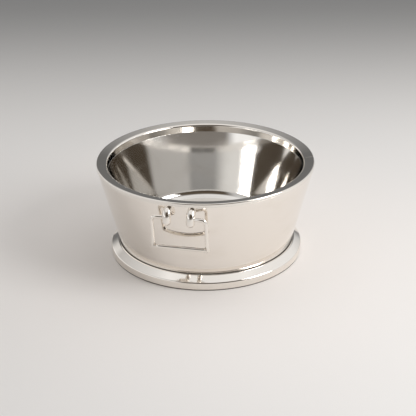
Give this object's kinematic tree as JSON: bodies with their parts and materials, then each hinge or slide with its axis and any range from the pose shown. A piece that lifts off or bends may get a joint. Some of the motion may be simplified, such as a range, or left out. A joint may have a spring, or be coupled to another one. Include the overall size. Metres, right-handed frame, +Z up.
{
  "type": "champagne bucket",
  "caption": "Wide round double-walled bucket for bottles on ice: tapered mirror-polished wall, broad turned-in rim, flared foot and a square drop handle in knuckle lugs on each side.",
  "frame": {"origin": "middle of the underside, on the surface that the bucket stands on", "axes": "+Z up along the bowl's axis, -Y towards the front handle, +Y towards the back handle, +X to the right seen from the front"},
  "size_m": [0.54, 0.579, 0.2405],
  "materials": {
    "polished_silver": "mirror-polished silver plate",
    "polished_steel": "mirror-polished stainless steel",
    "fastener_steel": "plain",
    "dark_rubber": "matte",
    "spacer_plastic": "matte"
  },
  "bodies": {
    "bucket": {"outer_shell": "polished_silver", "inner_bowl": "polished_steel", "rim_ring": "polished_silver", "foot_ring": "polished_silver", "joint_gasket": "dark_rubber", "foot_pad": "dark_rubber", "floor_spacer": "spacer_plastic", "foot_bolts": "fastener_steel", "foot_washers": "fastener_steel", "foot_nuts": "fastener_steel", "front_saddle": "fastener_steel", "back_saddle": "fastener_steel", "front_lug_washers": "fastener_steel", "back_lug_washers": "fastener_steel", "front_lug_screws": "fastener_steel", "back_lug_screws": "fastener_steel", "front_left_lug": "polished_silver", "front_right_lug": "polished_silver", "back_left_lug": "polished_silver", "back_right_lug": "polished_silver"},
    "front_handle": {"front_bail": "polished_silver"},
    "back_handle": {"back_bail": "polished_silver"}
  },
  "joints": [
    {"name": "front_handle_pivot", "type": "hinge", "parent": "bucket", "child": "front_handle", "pos_m": [0, -0.27928, 0.207], "axis": [-1, 0, 0], "range_deg": [-13, 207]},
    {"name": "back_handle_pivot", "type": "hinge", "parent": "bucket", "child": "back_handle", "pos_m": [0, 0.27928, 0.207], "axis": [1, 0, 0], "range_deg": [-13, 207]}
  ]
}
